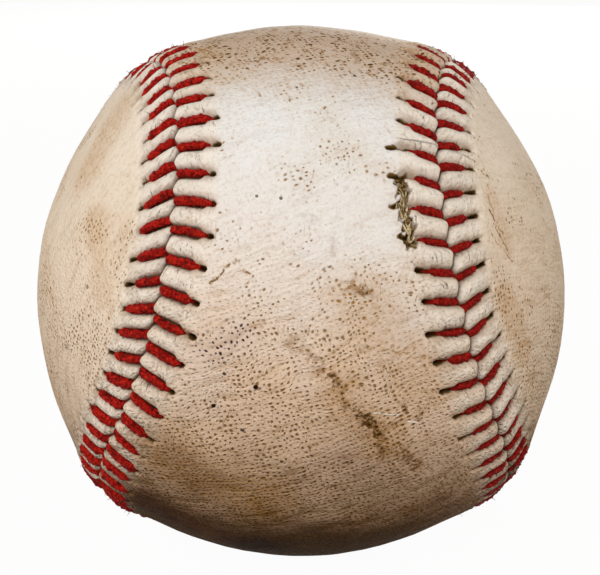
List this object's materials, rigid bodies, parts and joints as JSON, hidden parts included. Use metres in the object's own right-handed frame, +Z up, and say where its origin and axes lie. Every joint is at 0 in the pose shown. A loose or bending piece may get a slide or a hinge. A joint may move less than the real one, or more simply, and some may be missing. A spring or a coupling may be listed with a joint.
{
  "type": "baseball",
  "caption": "Leather-covered ball, a wound yarn core in two figure-eight panels sewn edge to edge with red thread, for throwing and hitting.",
  "frame": {"origin": "centre of the ball", "axes": "+Z up as the ball lies, -Y towards the viewer, +X to the viewer's right; the near waist of one panel faces forward and up"},
  "size_m": [0.0728, 0.0739, 0.0739],
  "materials": {
    "cork": "matt cork and rubber mix",
    "black_rubber": "matt moulded rubber",
    "red_rubber": "matt moulded rubber",
    "grey_wool": "wound wool yarn",
    "white_wool": "wound wool yarn",
    "white_cotton": "wound cotton yarn",
    "cement": "thin dried rubber cement",
    "leather": "worn alum-tanned leather, scuffed and stained",
    "red_thread": "waxed twisted cotton"
  },
  "bodies": {
    "root": {"cork_core": "cork", "black_rubber_shell_upper": "black_rubber", "black_rubber_shell_lower": "black_rubber", "rubber_gasket": "red_rubber", "red_rubber_jacket": "red_rubber", "winding_1_grey_four_ply_wool": "grey_wool", "winding_2_white_three_ply_wool": "white_wool", "winding_3_grey_three_ply_wool": "grey_wool", "winding_4_white_cotton": "white_cotton", "cement_coat": "cement", "cover_panel_waist": "leather", "cover_panel_sides": "leather", "thread_one": "red_thread", "thread_two": "red_thread"}
  },
  "joints": []
}
